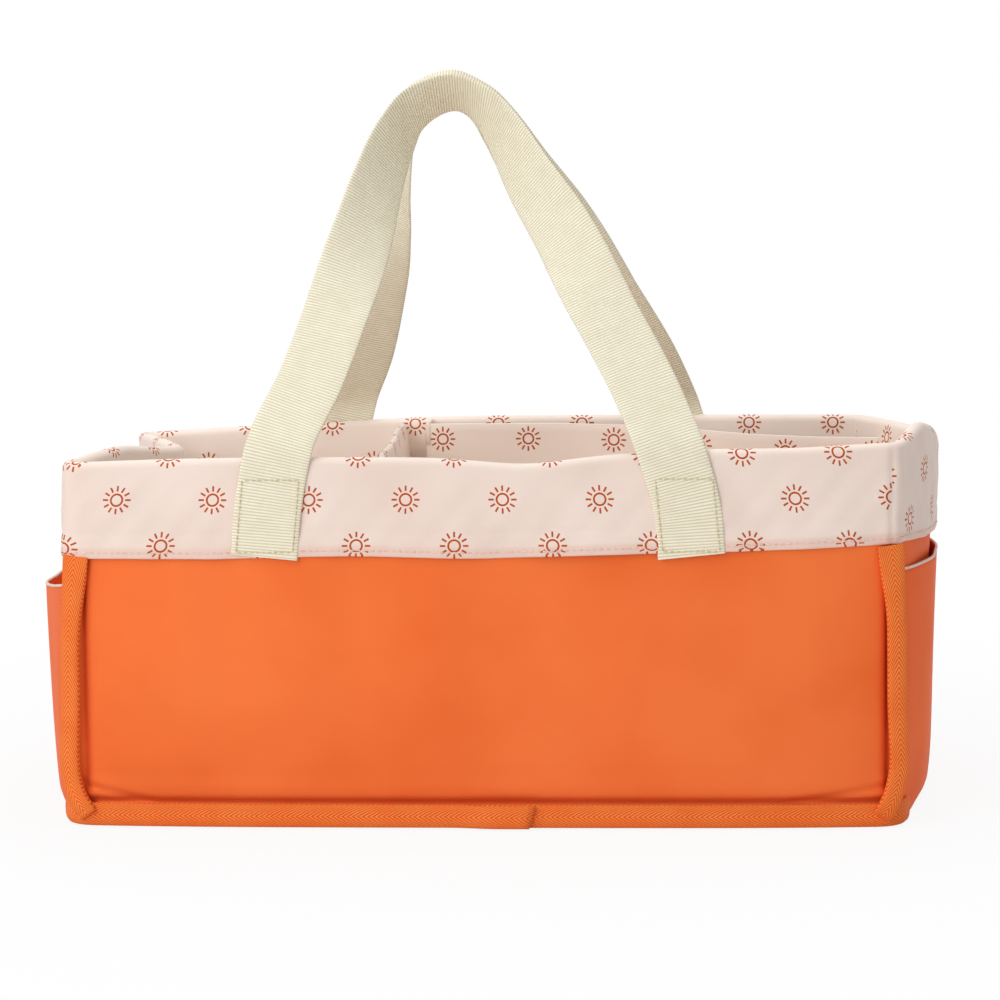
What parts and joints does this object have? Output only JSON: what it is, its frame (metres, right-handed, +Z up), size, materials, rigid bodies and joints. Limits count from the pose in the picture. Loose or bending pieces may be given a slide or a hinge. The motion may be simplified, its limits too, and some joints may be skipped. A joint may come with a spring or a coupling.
{
  "type": "diaper caddy",
  "caption": "Soft open-topped rectangular nursery caddy with a turned printed cuff, webbing handles, side pockets, an inner pocket and a lift-out divider.",
  "frame": {"origin": "middle of the base's underside, where the caddy stands on the floor", "axes": "+X to the right along the long side, +Y to the back, +Z up; the front with the base tape's lap faces -Y"},
  "size_m": [0.4565, 0.2592, 0.3639],
  "materials": {
    "outer_nylon": "satin",
    "printed_lining": "satin",
    "foam_sheet": "matte",
    "base_stiffener": "matte",
    "binding_tape": "matte",
    "pocket_binding": "matte",
    "webbing": "matte",
    "hook_and_loop": "matte"
  },
  "bodies": {
    "bag": {"front_panel": "outer_nylon", "back_panel": "outer_nylon", "left_panel": "outer_nylon", "right_panel": "outer_nylon", "base_panel": "outer_nylon", "left_pocket": "outer_nylon", "right_pocket": "outer_nylon", "front_lining": "printed_lining", "back_lining": "printed_lining", "left_lining": "printed_lining", "right_lining": "printed_lining", "base_lining": "printed_lining", "inner_pocket": "printed_lining", "front_foam": "foam_sheet", "back_foam": "foam_sheet", "left_foam": "foam_sheet", "right_foam": "foam_sheet", "base_board": "base_stiffener", "front_left_tape": "binding_tape", "front_right_tape": "binding_tape", "back_left_tape": "binding_tape", "back_right_tape": "binding_tape", "base_tape": "binding_tape", "left_pocket_binding": "pocket_binding", "right_pocket_binding": "pocket_binding", "front_left_tab": "webbing", "front_right_tab": "webbing", "back_left_tab": "webbing", "back_right_tab": "webbing", "front_loop_strip": "hook_and_loop", "back_loop_strip": "hook_and_loop"},
    "front_handle": {"front_handle": "webbing"},
    "back_handle": {"back_handle": "webbing"},
    "divider": {"cross_divider": "printed_lining", "front_hook_strip": "hook_and_loop", "back_hook_strip": "hook_and_loop"}
  },
  "joints": [
    {"name": "front_handle_swing", "type": "hinge", "parent": "bag", "child": "front_handle", "pos_m": [0, -0.12777, 0.18165], "axis": [1, 0, 0], "range_deg": [0, 174]},
    {"name": "back_handle_swing", "type": "hinge", "parent": "bag", "child": "back_handle", "pos_m": [0, 0.12777, 0.18165], "axis": [-1, 0, 0], "range_deg": [0, 174]},
    {"name": "divider_lift", "type": "slide", "parent": "bag", "child": "divider", "axis": [0, 0, 1], "range_m": [0, 0.045]}
  ]
}
